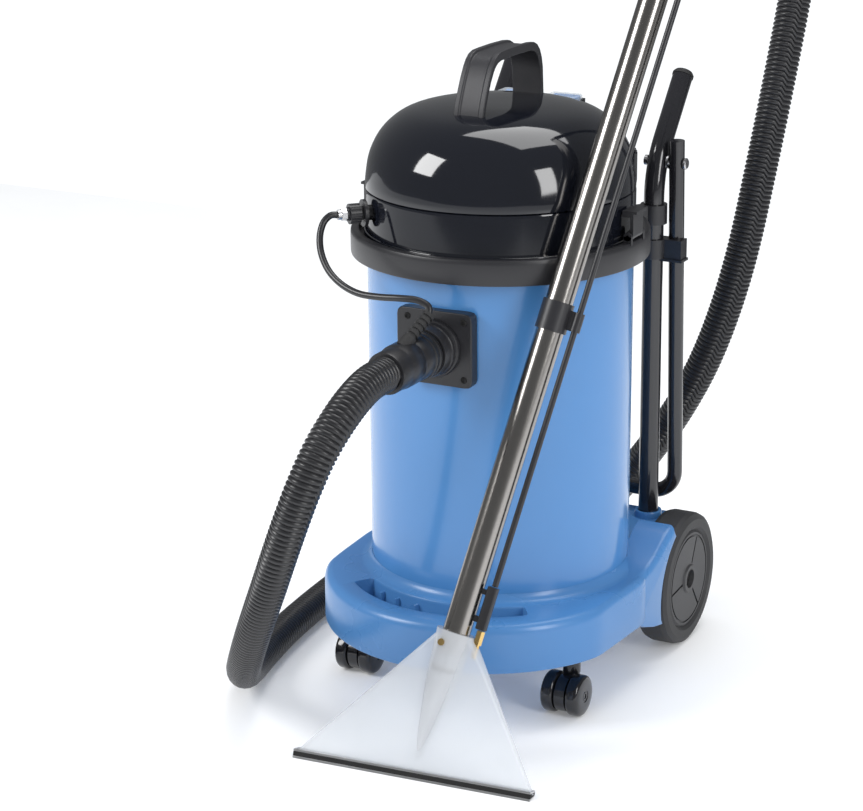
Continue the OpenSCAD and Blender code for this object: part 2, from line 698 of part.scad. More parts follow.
module jet_valve() {
    color([0.06, 0.06, 0.07]) wand_frame() translate([0, 0, nozzle_len - 8]) difference() {
        union() {
            translate([14, -7, 18]) cube([20, 14, 56]);
            translate([0, 0, 30]) cylinder(r = wand_r + 1.5, h = 12, $fn = 60);
        }
        translate([0, 0, -1]) cylinder(r = wand_r, h = 80, $fn = 60);
        translate([pipe_off, 0, 70]) cylinder(r = pipe_r, h = 10, $fn = 32);
    }
}

module brass_fittings() {
    color([0.72, 0.56, 0.28]) {
        wand_frame() translate([pipe_off, 0, nozzle_len - 20]) {
            translate([0, 0, 14]) cylinder(r = 5, h = 16, $fn = 6);
            translate([0, 0, -2]) cylinder(r = 3.2, h = 16, $fn = 32);
        }
        wand_frame() translate([-6, -19.2, 158]) rotate([90, 0, 0]) cylinder(r = 4, h = 3, $fn = 32);
    }
}

// Everything under the floor where the nozzle stands, to cut its lip flush
module below_floor() {
    translate([-300, -500, -20]) cube([700, 400, 20]);
}

// The clear fishtail: a flat flared channel with a round spout that grips the wand
module nozzle_body() {
    top = nozzle_len * cos(wand_skew);
    shift = nozzle_len * sin(wand_skew);
    color([0.8, 0.84, 0.86, 0.5]) difference() {
        union() {
            nozzle_frame() hull() {
                translate([-lip_half, -5, 1]) cube([2 * lip_half, 10, 5]);
                translate([shift - 30, -11, top - 24]) cube([60, 22, 18]);
            }
            wand_frame() translate([0, 0, nozzle_len - 70]) cylinder(r1 = 13, r2 = 22.5, h = 70, $fn = 64);
        }
        nozzle_frame() hull() {
            translate([-lip_half + 3, -2.5, -1]) cube([2 * lip_half - 6, 5, 2]);
            translate([shift - 22, -7, top - 52]) cube([44, 14, 10]);
        }
        wand_frame() translate([0, 0, nozzle_len - 24]) cylinder(r = wand_r, h = 40, $fn = 64);
        wand_frame() translate([0, 0, nozzle_len - 66]) cylinder(r1 = 8, r2 = 14.5, h = 45, $fn = 64);
        wand_frame() translate([pipe_off, 0, nozzle_len - 23]) cylinder(r = 3.2, h = 40, $fn = 32);
        wand_frame() translate([pipe_off, 0, nozzle_len - 6]) cylinder(r = 6, h = 12, $fn = 32);
        wand_frame() translate([-6, -19.2, 158]) rotate([90, 0, 0]) cylinder(r = 4, h = 5, $fn = 32);
        below_floor();
    }
}

module nozzle_lip() {
    color([0.08, 0.08, 0.08]) difference() {
        nozzle_frame() difference() {
            translate([-lip_half, -8, 0]) cube([2 * lip_half, 16, 9]);
            translate([-lip_half - 1, -5, 1]) cube([2 * lip_half + 2, 10, 10]);
            translate([-lip_half + 3, -2.5, -1]) cube([2 * lip_half - 6, 5, 4]);
        }
        below_floor();
    }
}

module head_band() {
    color([0.07, 0.07, 0.08]) difference() {
        rotate_extrude($fn = 180) polygon([[62, head_floor_z], [head_r + 2, head_floor_z], [head_r + 2, head_floor_z + 5],
            [head_r, head_floor_z + 7], [head_r, seam_z], [head_r - head_wall, seam_z],
            [head_r - head_wall, head_floor_z + 4], [62, head_floor_z + 4]]);
        coupling_frame() translate([0, 0, 140]) cylinder(r = 9, h = 40, $fn = 40);
    }
}

// The solid inside the dome's outer surface, moved in by a distance
module dome_solid(d) {
    rotate_extrude($fn = 180) polygon([[0, seam_z], [head_r - 1 - d, seam_z], [head_r - 1.5 - d, 622],
        [head_r - 6 - d, 644 - 0.3 * d], [head_r - 16 - 0.8 * d, 665 - 0.6 * d],
        [head_r - 29 - 0.7 * d, 681 - 0.7 * d], [head_r - 46 - 0.5 * d, 693 - 0.9 * d],
        [head_r - 68 - 0.3 * d, 700 - d], [head_r - 100, 704 - d], [0, crown_z - d]]);
}

module head_dome() {
    color([0.05, 0.05, 0.06]) difference() {
        dome_solid(0);
        difference() {
            dome_solid(4);
            translate([-200, -200, seam_z - 1]) cube([400, 400, 1]);
        }
        // cooling slots at the back right
        for (a = [22 : 6 : 52]) rotate([0, 0, a]) translate([head_r - 30, -1.5, 614]) cube([60, 3, 34]);
        // recess for the switch panel
        translate([-59, 77, 640]) cube([118, 90, 80]);
        translate([0, 165, 626]) rotate([90, 0, 0]) cylinder(r = 7, h = 30, $fn = 32);
    }
}

module head_seal() {
    color([0.03, 0.03, 0.03]) translate([0, 0, shelf_z + clear]) difference() {
        cylinder(r = drum_r + 2, h = head_floor_z - shelf_z - clear, $fn = 180);
        translate([0, 0, -1]) cylinder(r = drum_r - 4, h = 10, $fn = 180);
    }
}

// Loop handle on the crown, its band standing front to back
module carry_handle() {
    color([0.11, 0.11, 0.12]) difference() {
        translate([-19, 0, 0]) rotate([90, 0, 90]) linear_extrude(38) difference() {
            polygon([[-84, 692], [-83, 704], [-79, 724], [-63, 756], [-52, 767], [-39, 771], [56, 768], [70, 760],
                [79, 743], [81, 704], [81, 692]]);
            polygon([[-72, 710], [-68, 706], [66, 706], [70, 710], [69, 740], [62, 751], [54, 756], [-38, 758],
                [-48, 754], [-58, 744], [-70, 724]]);
        }
        // hollow channel along the top, and a seat that follows the crown
        translate([-12, -30, 765]) cube([24, 70, 20]);
        dome_solid(0);
    }
}

module switch_panel() {
    color([0.09, 0.09, 0.1]) difference() {
        union() {
            intersection() {
                translate([-59, 77, 640]) cube([118, 90, 80]);
                difference() {
                    dome_solid(3);
                    dome_solid(11);
                }
            }
            for (x = [-32, 32]) translate([x - 21, 89, 676]) cube([42, 32, 16]);
        }
        for (x = [-32, 32]) translate([x - 17.4, 92.7, 683.5]) cube([34.8, 24.6, 20]);
        for (x = [-32, 32]) translate([x - 21, 105, 687]) rotate([0, 90, 0]) cylinder(r = 2, h = 42, $fn = 24);
    }
    color([0.7, 0.7, 0.72]) for (x = [-32, 32]) translate([x - 21, 105, 687]) rotate([0, 90, 0])
        cylinder(r = 2, h = 42, $fn = 24);
}

module rocker(x) {
    color([0.15, 0.45, 0.8]) translate([x, 105, 687]) difference() {
        rotate([0, 90, 0]) translate([0, 0, -17]) linear_extrude(34) polygon([[-9, -10.8], [-5.5, 0], [-9, 10.8],
            [-0.5, 10.8], [2.6, 4], [2.6, -4], [-0.5, -10.8]]);
        rotate([0, 90, 0]) translate([0, 0, -30]) cylinder(r = 2 + fit, h = 60, $fn = 24);
    }
}

module rocker_vacuum() {
    rocker(-32);
}

module rocker_pump() {
    rocker(32);
}

module cable_gland() {
    color([0.06, 0.06, 0.07]) translate([0, 144.5, 626]) rotate([-90, 0, 0]) difference() {
        union() {
            cylinder(r = 7, h = 14, $fn = 32);
            translate([0, 0, 14]) cylinder(r = 10, h = 4, $fn = 40);
            translate([0, 0, 18]) cylinder(r = 8, h = 8, $fn = 40);
        }
        translate([0, 0, -1]) cylinder(r = 4, h = 40, $fn = 32);
    }
}

module motor() {
    color([0.6, 0.6, 0.6]) difference() {
        union() {
            translate([0, 0, head_floor_z + 4]) cylinder(r = 70, h = 34, $fn = 80);
            translate([0, 0, head_floor_z + 38]) cylinder(r = 46, h = 60, $fn = 64);
        }
        translate([0, 0, head_floor_z - 1]) cylinder(r = 66, h = 35, $fn = 80);
        translate([0, 0, head_floor_z]) cylinder(r = 6 + fit, h = 80, $fn = 32);
    }
}

module fan() {
    color([0.75, 0.76, 0.78]) {
        translate([0, 0, head_floor_z + 10]) cylinder(r = 6, h = 50, $fn = 32);
        translate([0, 0, head_floor_z + 12]) cylinder(r = 60, h = 1.5, $fn = 64);
        translate([0, 0, head_floor_z + 26]) difference() {
            cylinder(r = 60, h = 1.5, $fn = 64);
            translate([0, 0, -1]) cylinder(r = 5, h = 5, $fn = 32);
        }
        for (a = [0 : 45 : 315]) rotate([0, 0, a]) translate([18, -0.6, head_floor_z + 13]) cube([40, 1.2, 13.5]);
    }
}

module pump() {
    color([0.35, 0.35, 0.38]) {
        translate([-100, -20, head_floor_z + 4]) cube([26, 60, 40]);
        translate([-88, 60, head_floor_z + 24]) rotate([90, 0, 0]) cylinder(r = 15, h = 20, $fn = 40);
    }
}

module float_cage() {
    color([0.85, 0.85, 0.82]) translate([0, 0, 440]) difference() {
        union() {
            cylinder(r = 50, h = head_floor_z - 440, $fn = 64);
            translate([0, 0, head_floor_z - 444]) cylinder(r = 66, h = 4, $fn = 64);
        }
        translate([0, 0, 4]) cylinder(r = 46, h = 200, $fn = 64);
        for (a = [0 : 45 : 135]) rotate([0, 0, a]) translate([-60, -9, 16]) cube([120, 18, 70]);
    }
}

module float_ball() {
    color([0.9, 0.3, 0.1]) translate([0, 0, 440 + 4 + 30 + 0.2]) sphere(r = 30, $fn = 48);
}

// Rim latch: a lever on the ring's pin that hooks over the head band's catch
module latch(s) {
    color([0.07, 0.07, 0.08]) mirror([s > 0 ? 0 : 1, 0, 0]) difference() {
        union() {
            translate([latch_pin_x, latch_half_w, latch_pin_z]) rotate([90, 0, 0]) cylinder(r = 5, h = 2 * latch_half_w, $fn = 40);
            translate([latch_pin_x + 1, -latch_half_w, latch_pin_z]) cube([4, 2 * latch_half_w, 29]);
            translate([163, -latch_half_w, 586.6]) cube([latch_pin_x + 5 - 163, 2 * latch_half_w, 7.4]);
            translate([latch_pin_x + 3, -latch_half_w, 591]) cube([6, 2 * latch_half_w, 3]);
        }
        translate([latch_pin_x, 40, latch_pin_z]) rotate([90, 0, 0]) cylinder(r = 2 + fit, h = 80, $fn = 32);
    }
}

module latch_left() {
    latch(-1);
}

module latch_right() {
    latch(1);
}

chassis();
drum();
rim_ring();
inlet_plate();
inlet_screws();
inlet_collar();
hose_cuff_inlet();
vacuum_hose();
hose_cuff_wand();
solution_hose();
solution_boot();
coupling_plug();
solution_tank();
post_left();
post_right();
post_caps();
post_brackets();
handle_clips();
pivot_bolts();
rear_axle();
axle_caps();
wand_lower();
wand_upper();
wand_collar();
wand_grip();
trigger_valve();
solution_pipe();
jet_valve();
brass_fittings();
nozzle_body();
nozzle_lip();
head_band();
head_dome();
head_seal();
carry_handle();
switch_panel();
cable_gland();
motor();
pump();
float_cage();
coupling_socket();
rocker_vacuum();
rocker_pump();
coupling_sleeve();
trigger();
fan();
float_ball();
latch_left();
latch_right();
fold_handle();
tyre_left();
hub_left();
tyre_right();
hub_right();
castor_left();
castor_right();
castor_wheel_lo();
castor_wheel_li();
castor_wheel_ri();
castor_wheel_ro();
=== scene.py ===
"""Looks for the tub carpet cleaner. Lengths are in millimetres until build() turns them into metres."""
import json
import math

import bpy
from mathutils import Matrix, Vector


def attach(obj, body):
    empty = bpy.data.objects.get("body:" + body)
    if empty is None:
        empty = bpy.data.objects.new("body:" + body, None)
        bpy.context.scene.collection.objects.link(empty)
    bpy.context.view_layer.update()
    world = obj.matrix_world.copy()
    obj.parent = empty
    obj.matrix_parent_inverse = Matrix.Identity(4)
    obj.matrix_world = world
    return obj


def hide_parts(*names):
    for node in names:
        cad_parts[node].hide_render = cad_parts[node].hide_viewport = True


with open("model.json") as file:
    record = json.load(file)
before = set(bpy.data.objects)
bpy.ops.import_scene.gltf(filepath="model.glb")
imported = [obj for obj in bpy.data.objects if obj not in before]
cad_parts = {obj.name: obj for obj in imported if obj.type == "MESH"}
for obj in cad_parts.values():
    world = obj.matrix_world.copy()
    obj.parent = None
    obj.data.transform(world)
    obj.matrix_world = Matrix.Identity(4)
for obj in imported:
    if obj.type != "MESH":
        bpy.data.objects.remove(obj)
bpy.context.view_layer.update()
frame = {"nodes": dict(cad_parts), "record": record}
MM = 0.001
TAU = 2 * math.pi


# ---------------------------------------------------------------- camera
CAMERA_AZIMUTH = math.radians(26.53)
CAMERA_DISTANCE = 3000
CAMERA_HEIGHT = 1288
CAMERA_PITCH = math.radians(17.66)
CAMERA_YAW = math.radians(1.59)
CAMERA_ROLL = math.radians(-0.45)
CAMERA_LENS = 108.6


def make_camera():
    heading = CAMERA_AZIMUTH + CAMERA_YAW
    level = Vector((-math.sin(heading), math.cos(heading), 0))
    right = Vector((math.cos(heading), math.sin(heading), 0))
    forward = level * math.cos(CAMERA_PITCH) - Vector((0, 0, math.sin(CAMERA_PITCH)))
    up = right.cross(forward)
    side = right * math.cos(CAMERA_ROLL) + up * math.sin(CAMERA_ROLL)
    top = up * math.cos(CAMERA_ROLL) - right * math.sin(CAMERA_ROLL)
    turn_to = Matrix((side, top, -forward)).transposed().to_4x4()
    place = Vector((CAMERA_DISTANCE * math.sin(CAMERA_AZIMUTH), -CAMERA_DISTANCE * math.cos(CAMERA_AZIMUTH),
                    CAMERA_HEIGHT))
    camera = bpy.data.cameras.new("camera")
    camera.lens = CAMERA_LENS
    camera.sensor_width = 36
    camera.sensor_fit = "HORIZONTAL"
    camera.clip_end = 50
    holder = bpy.data.objects.new("camera", camera)
    holder.matrix_world = Matrix.Translation(place * MM) @ turn_to
    bpy.context.scene.collection.objects.link(holder)
    bpy.context.scene.camera = holder


make_camera()


# ---------------------------------------------------------------- frames
def at(x, y, z):
    return Matrix.Translation((x, y, z))


def turn(axis, degrees):
    return Matrix.Rotation(math.radians(degrees), 4, axis)


WORLD = Matrix()
NOZZLE = at(60, -344, 0) @ turn("Z", 4.3) @ turn("X", -21)
WAND = NOZZLE @ turn("Y", 10.1)
HANDLE = at(0, 198, 606) @ turn("X", 2.1)
INLET = at(0, 0, 450) @ turn("X", 90)


# ---------------------------------------------------------------- materials
def procedural(name, colour, roughness, metallic=0.0, coat=0.0, bump=0.0, bump_scale=400.0, vary=0.06,
               vary_scale=9.0, alpha=1.0, stretch=(1, 1, 1), specular=0.5):
    """Principled surface whose roughness and brightness drift a little and whose relief is a fine noise."""
    material = bpy.data.materials.new(name)
    material.use_nodes = True
    nodes = material.node_tree.nodes
    links = material.node_tree.links
    shader = nodes["Principled BSDF"]
    shader.inputs["Metallic"].default_value = metallic
    shader.inputs["Coat Weight"].default_value = coat
    shader.inputs["Coat Roughness"].default_value = 0.06
    shader.inputs["Alpha"].default_value = alpha
    shader.inputs["Specular IOR Level"].default_value = specular
    place = nodes.new("ShaderNodeTexCoord")
    scale = nodes.new("ShaderNodeMapping")
    scale.inputs["Scale"].default_value = stretch
    links.new(place.outputs["Object"], scale.inputs["Vector"])
    drift = nodes.new("ShaderNodeTexNoise")
    drift.inputs["Scale"].default_value = vary_scale
    drift.inputs["Detail"].default_value = 4
    links.new(scale.outputs["Vector"], drift.inputs["Vector"])
    tint = nodes.new("ShaderNodeMix")
    tint.data_type = "RGBA"
    tint.inputs["A"].default_value = (*[c * (1 - vary) for c in colour], 1)
    tint.inputs["B"].default_value = (*[min(1, c * (1 + vary)) for c in colour], 1)
    links.new(drift.outputs["Fac"], tint.inputs["Factor"])
    links.new(tint.outputs["Result"], shader.inputs["Base Color"])
    spread = nodes.new("ShaderNodeMapRange")
    spread.inputs["To Min"].default_value = max(0.02, roughness * 0.8)
    spread.inputs["To Max"].default_value = roughness * 1.2
    links.new(drift.outputs["Fac"], spread.inputs["Value"])
    links.new(spread.outputs["Result"], shader.inputs["Roughness"])
    if bump:
        grain = nodes.new("ShaderNodeTexNoise")
        grain.inputs["Scale"].default_value = bump_scale
        grain.inputs["Detail"].default_value = 3
        links.new(scale.outputs["Vector"], grain.inputs["Vector"])
        relief = nodes.new("ShaderNodeBump")
        relief.inputs["Strength"].default_value = bump
        relief.inputs["Distance"].default_value = 0.0004
        links.new(grain.outputs["Fac"], relief.inputs["Height"])
        links.new(relief.outputs["Normal"], shader.inputs["Normal"])
    return material


LOOKS = {
    "drum_blue": procedural("drum_blue", (0.068, 0.222, 0.5), 0.22, coat=0.25, bump=0.03, bump_scale=60),
    "chassis_blue": procedural("chassis_blue", (0.066, 0.205, 0.46), 0.28, bump=0.06, bump_scale=500),
    "black_gloss": procedural("black_gloss", (0.006, 0.007, 0.011), 0.07, coat=0.4, bump=0.02, bump_scale=40),
    "black_satin": procedural("black_satin", (0.018, 0.018, 0.021), 0.36, bump=0.1, bump_scale=900),
    "black_tube": procedural("black_tube", (0.014, 0.014, 0.017), 0.16, coat=0.4, bump=0.02),
    "rubber_black": procedural("rubber_black", (0.016, 0.016, 0.017), 0.6, bump=0.2, bump_scale=900),
    "hose_black": procedural("hose_black", (0.016, 0.016, 0.018), 0.33, bump=0.05, bump_scale=500),
    "grey_plastic": procedural("grey_plastic", (0.026, 0.026, 0.03), 0.42, bump=0.25, bump_scale=1100),
    "hub_grey": procedural("hub_grey", (0.034, 0.034, 0.037), 0.5, bump=0.2, bump_scale=900),
    "tyre_grey": procedural("tyre_grey", (0.03, 0.03, 0.032), 0.62, bump=0.3, bump_scale=900),
    "stainless": procedural("stainless", (0.33, 0.315, 0.3), 0.2, metallic=1, bump=0.04, bump_scale=300,
                            stretch=(1, 1, 0.1)),
    "steel": procedural("steel", (0.55, 0.55, 0.56), 0.3, metallic=1, bump=0.05),
    "brass": procedural("brass", (0.72, 0.5, 0.2), 0.28, metallic=1, bump=0.05),
    "clear": procedural("clear", (0.72, 0.75, 0.79), 0.16, alpha=0.5, bump=0.05, bump_scale=80, specular=0.7),
    "tank_white": procedural("tank_white", (0.7, 0.72, 0.72), 0.4, bump=0.1),
    "switch_blue": procedural("switch_blue", (0.03, 0.2, 0.55), 0.3, bump=0.05),
    "cover_clear": procedural("cover_clear", (0.75, 0.8, 0.84), 0.2, alpha=0.4, bump=0.05),
    "red_plastic": procedural("red_plastic", (0.42, 0.03, 0.02), 0.38, bump=0.1),
    "motor_grey": procedural("motor_grey", (0.2, 0.2, 0.21), 0.45, bump=0.2),
    "float_orange": procedural("float_orange", (0.7, 0.2, 0.04), 0.35, bump=0.1),
    "alu": procedural("alu", (0.7, 0.7, 0.72), 0.35, metallic=1, bump=0.1),
    "castor_black": procedural("castor_black", (0.009, 0.009, 0.011), 0.16, coat=0.3, bump=0.03),
    "spout_clear": procedural("spout_clear", (0.66, 0.68, 0.71), 0.14, alpha=0.5, bump=0.03, specular=0.7),
    "dark": procedural("dark", (0.004, 0.004, 0.004), 0.7, bump=0.1),
}
SLOT_OF = {part["node"]: part["material_slot"] for part in frame["record"]["subparts"]}
for node_name, node_object in frame["nodes"].items():
    node_object.data.materials.clear()
    node_object.data.materials.append(LOOKS[SLOT_OF[node_name]])


def build(name, points, faces, look, place=WORLD, body="machine", replaces=(), slot=None, bevel=0, segments=3,
          sharp=38):
    """One smooth-shaded piece in metres, with its look, body and the CAD nodes it stands for; the slot argument is
    not used.
    """
    mesh = bpy.data.meshes.new(name)
    mesh.from_pydata([(place @ Vector(p)) * MM for p in points], [], faces)
    mesh.validate()
    mesh.polygons.foreach_set("use_smooth", [True] * len(mesh.polygons))
    mesh.set_sharp_from_angle(angle=math.radians(sharp))
    mesh.materials.append(LOOKS[look])
    piece = bpy.data.objects.new(name, mesh)
    bpy.context.scene.collection.objects.link(piece)
    if bevel:
        rounding = piece.modifiers.new("rounding", "BEVEL")
        rounding.width = bevel * MM
        rounding.segments = segments
        rounding.limit_method = "ANGLE"
        rounding.angle_limit = math.radians(35)
        rounding.harden_normals = True
    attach(piece, body)
    if replaces:
        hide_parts(*replaces)
    return piece


def joined(*shapes):
    """Several (points, faces) shapes as one."""
    points, faces = [], []
    for more_points, more_faces in shapes:
        start = len(points)
        points += [tuple(p) for p in more_points]
        faces += [tuple(start + i for i in face) for face in more_faces]
    return points, faces


def moved(shape, place):
    return [tuple(place @ Vector(p)) for p in shape[0]], shape[1]


def grid(rows, wrap_rows=False, wrap_columns=True):
    """Faces between rows of equal length."""
    count = len(rows[0])
    points = [p for row in rows for p in row]
    faces = []
    for i in range(len(rows) if wrap_rows else len(rows) - 1):
        j = (i + 1) % len(rows)
        for k in range(count if wrap_columns else count - 1):
            m = (k + 1) % count
            faces.append((i * count + k, i * count + m, j * count + m, j * count + k))
    return points, faces


def lathe(profile, steps=96, closed=True):
    """Turns a profile of (radius, height) about Z; the profile runs anticlockwise with r to the right."""
    rows = [[(r * math.cos(TAU * k / steps), r * math.sin(TAU * k / steps), z) for k in range(steps)]
            for r, z in profile]
    return grid(rows, wrap_rows=closed)


def smooth_line(points, spacing):
    """Points along a Catmull-Rom curve through the given ones, evenly spaced."""
    given = [Vector(p) for p in points]
    dense = []
    for i in range(len(given) - 1):
        p0, p1, p2, p3 = given[max(i - 1, 0)], given[i], given[i + 1], given[min(i + 2, len(given) - 1)]
        for step in range(24):
            t = step / 24
            dense.append(0.5 * (2 * p1 + (p2 - p0) * t + (2 * p0 - 5 * p1 + 4 * p2 - p3) * t * t
                                + (3 * p1 - p0 - 3 * p2 + p3) * t ** 3))
    dense.append(given[-1])
    lengths = [0.0]
    for a, b in zip(dense, dense[1:]):
        lengths.append(lengths[-1] + (b - a).length)
    count = max(2, round(lengths[-1] / spacing))
    result, j = [], 0
    for i in range(count + 1):
        wanted = lengths[-1] * i / count
        while j < len(lengths) - 2 and lengths[j + 1] < wanted:
            j += 1
        span = lengths[j + 1] - lengths[j]
        result.append(dense[j].lerp(dense[j + 1], (wanted - lengths[j]) / span if span else 0))
    return result, lengths[-1]


def sweep(line, radii, sides=24, side=(1, 0, 0), pitch=0.0, caps=True):
    """A round tube along a line; pitch slants its rings so that ribs run as a helix."""
    side = Vector(side)
    rows = []
    for i, centre in enumerate(line):
        tangent = (line[min(i + 1, len(line) - 1)] - line[max(i - 1, 0)]).normalized()
        side = (side - tangent * side.dot(tangent)).normalized()
        other = tangent.cross(side)
        radius = radii[i] if hasattr(radii, "__len__") else radii
        slant = 0 if i in (0, len(line) - 1) else pitch
        rows.append([centre + radius * (math.cos(TAU * k / sides) * side + math.sin(TAU * k / sides) * other)
                     + tangent * (slant * (k / sides - 0.5)) for k in range(sides)])
    points, faces = grid(rows)
    if caps:
        faces.append(tuple(reversed(range(sides))))
        faces.append(tuple(range(len(points) - sides, len(points))))
    return points, faces


def box(x0, y0, z0, x1, y1, z1):
    points = [(x, y, z) for z in (z0, z1) for y in (y0, y1) for x in (x0, x1)]
    return points, [(0, 2, 3, 1), (4, 5, 7, 6), (0, 1, 5, 4), (2, 6, 7, 3), (0, 4, 6, 2), (1, 3, 7, 5)]


def prism(outline, low, high):
    """A flat outline, anticlockwise, raised along Z."""
    n = len(outline)
    points = [(x, y, low) for x, y in outline] + [(x, y, high) for x, y in outline]
    faces = [tuple(reversed(range(n))), tuple(range(n, 2 * n))]
    faces += [(i, (i + 1) % n, n + (i + 1) % n, n + i) for i in range(n)]
    return points, faces


def mirrored(shape):
    return [(-x, y, z) for x, y, z in shape[0]], [tuple(reversed(face)) for face in shape[1]]


def rounded(width, height, radius, steps=6):
    """A rectangle with round corners, anticlockwise about its centre."""
    outline = []
    for index, (sx, sy) in enumerate(((1, 1), (-1, 1), (-1, -1), (1, -1))):
        for step in range(steps + 1):
            angle = math.radians(90 * index + 90 * step / steps)
            outline.append((sx * (width / 2 - radius) + radius * math.cos(angle),
                            sy * (height / 2 - radius) + radius * math.sin(angle)))
    return outline


def eased(value, low, high):
    """0 below low, 1 above high and smooth between."""
    t = min(1, max(0, (value - low) / (high - low)))
    return t * t * (3 - 2 * t)


def arc(cx, cy, radius, start, end, steps):
    """Points along a circle, the angles in degrees."""
    return [(cx + radius * math.cos(math.radians(start + (end - start) * k / steps)),
             cy + radius * math.sin(math.radians(start + (end - start) * k / steps))) for k in range(steps + 1)]


def bar(profile, half):
    """A (y, z) outline drawn out along X to both sides."""
    points, faces = prism(profile, -half, half)
    return [(x, y, z) for y, z, x in points], faces


# ---------------------------------------------------------------- cords
HOSE_ROUTE = [
    (0, -285, 450), (0, -320, 449), (0, -353, 441), (-3, -384, 424), (-11, -410, 396), (-22, -426, 360),
    (-36, -432, 320), (-53, -430, 278), (-73, -420, 236), (-96, -404, 194), (-123, -380, 150), (-152, -348, 108),
    (-182, -308, 72), (-209, -262, 44), (-232, -212, 27), (-249, -156, 21), (-261, -92, 21), (-270, -20, 21),
    (-277, 60, 21), (-280, 140, 21), (-268, 215, 21), (-237, 281, 21), (-186, 328, 21), (-120, 346, 27),
    (-62, 338, 54), (-14, 320, 96), (30, 308, 146), (72, 302, 202), (110, 300, 262), (142, 300, 326),
    (168, 301, 398), (188, 306, 478), (203, 318, 575), (215, 338, 680), (224, 360, 780), (229, 381, 868),
    (232, 392, 938), (234, 389, 998), (235, 369, 1049), (235, 334, 1080), (233.5, 289, 1087), (232.3, 246.4, 1078.4)]
HOSE_RADIUS = 20.5
HOSE_PITCH = 6.0
RIB = (-1.9, -0.5, 0.0, 0.0, -0.5)
SOLUTION_ROUTE = [
    (-139, -144, 585), (-145, -150, 585), (-150, -158, 577), (-149, -168, 562), (-141, -178, 545),
    (-126, -187, 529), (-105, -195, 518), (-80, -201, 512), (-52, -204, 512), (-26, -205, 514), (-4, -203, 514),
    (10, -201, 508), (12, -204, 499)]

CUFF = [(19.5, 150), (23, 150), (23, 197), (26.4, 197.4), (27.5, 199), (27.5, 203), (26.2, 204), (26.2, 207),
        (27.5, 208), (27.5, 212), (26.2, 213), (26, 216), (26, 232), (25.4, 233), (25.4, 236), (26, 237), (26, 256),
        (25, 260), (24.5, 264),
        (24.5, 283), (23.8, 285), (20, 285), (18, 283), (18, 255), (19.5, 250)]
inlet_cuff = build("inlet_cuff", *lathe(CUFF, 64), "hose_black", INLET, replaces=("hose_cuff_inlet",))

hose_line, hose_length = smooth_line(HOSE_ROUTE, HOSE_PITCH / len(RIB))
hose_radii = [HOSE_RADIUS + RIB[i % len(RIB)] for i in range(len(hose_line))]
hose = build("hose", *sweep(hose_line, hose_radii, sides=20, pitch=HOSE_PITCH), "hose_black",
             replaces=("vacuum_hose",))

solution_line, solution_length = smooth_line(SOLUTION_ROUTE, 3)
solution = build("solution_lead", *sweep(solution_line, 4, sides=16, side=(0, 0, 1)), "hose_black",
                 replaces=("solution_hose",))


# ---------------------------------------------------------------- stage and light
AMBIENT = 0.72
AMBIENT_IN_GLOSS = 0.2
BACKDROP = 1.1


def make_stage():
    floor_mesh = bpy.data.meshes.new("floor")
    floor_mesh.from_pydata([(-8, -8, 0), (8, -8, 0), (8, 1.9, 0), (-8, 1.9, 0)], [], [(0, 1, 2, 3)])
    white = procedural("floor", (0.86, 0.865, 0.875), 0.7, vary=0.01, specular=0.2)
    white.node_tree.nodes["Principled BSDF"].inputs["Emission Color"].default_value = (1, 1, 1, 1)
    white.node_tree.nodes["Principled BSDF"].inputs["Emission Strength"].default_value = 0.14
    floor_mesh.materials.append(white)
    floor = bpy.data.objects.new("floor", floor_mesh)
    bpy.context.scene.collection.objects.link(floor)
    world = bpy.data.worlds.new("studio")
    world.use_nodes = True
    nodes = world.node_tree.nodes
    links = world.node_tree.links
    nodes["Background"].inputs["Color"].default_value = (0.96, 0.98, 1, 1)
    rays = nodes.new("ShaderNodeLightPath")
    unlit = nodes.new("ShaderNodeMix")
    unlit.inputs["A"].default_value = AMBIENT
    unlit.inputs["B"].default_value = AMBIENT_IN_GLOSS
    links.new(rays.outputs["Is Glossy Ray"], unlit.inputs["Factor"])
    seen = nodes.new("ShaderNodeMix")
    seen.inputs["B"].default_value = BACKDROP
    links.new(rays.outputs["Is Camera Ray"], seen.inputs["Factor"])
    links.new(unlit.outputs["Result"], seen.inputs["A"])
    links.new(seen.outputs["Result"], nodes["Background"].inputs["Strength"])
    bpy.context.scene.world = world
    bpy.context.scene.view_settings.view_transform = "Standard"


def area_light(name, place, target, width, height, watts):
    light = bpy.data.lights.new(name, "AREA")
    light.shape = "RECTANGLE"
    light.size = width
    light.size_y = height
    light.energy = watts
    holder = bpy.data.objects.new(name, light)
    holder.location = place
    holder.rotation_euler = (Vector(target) - Vector(place)).to_track_quat("-Z", "Y").to_euler()
    bpy.context.scene.collection.objects.link(holder)


make_stage()
area_light("key", (-2.2, -2.2, 2.4), (0, 0, 0.4), 1.2, 1.6, 75)
area_light("fill", (2.8, -1.2, 1.6), (0, 0, 0.4), 0.8, 1.8, 38)
area_light("top", (0.2, 0.6, 3.0), (0, 0, 0.5), 2.0, 1.6, 40)


# ---------------------------------------------------------------- drum and ring
DRUM_PROFILE = [
    (0, 92), (148, 92), (152, 92.8), (155.5, 95.5), (157, 101), (157.2, 140), (157.6, 320), (158, 526),
    (158, 545), (154, 545), (153.6, 320), (153, 106), (150, 99), (146, 97), (0, 97)]
build("drum_shell", *lathe(DRUM_PROFILE, steps=160), "drum_blue", replaces=("drum",))

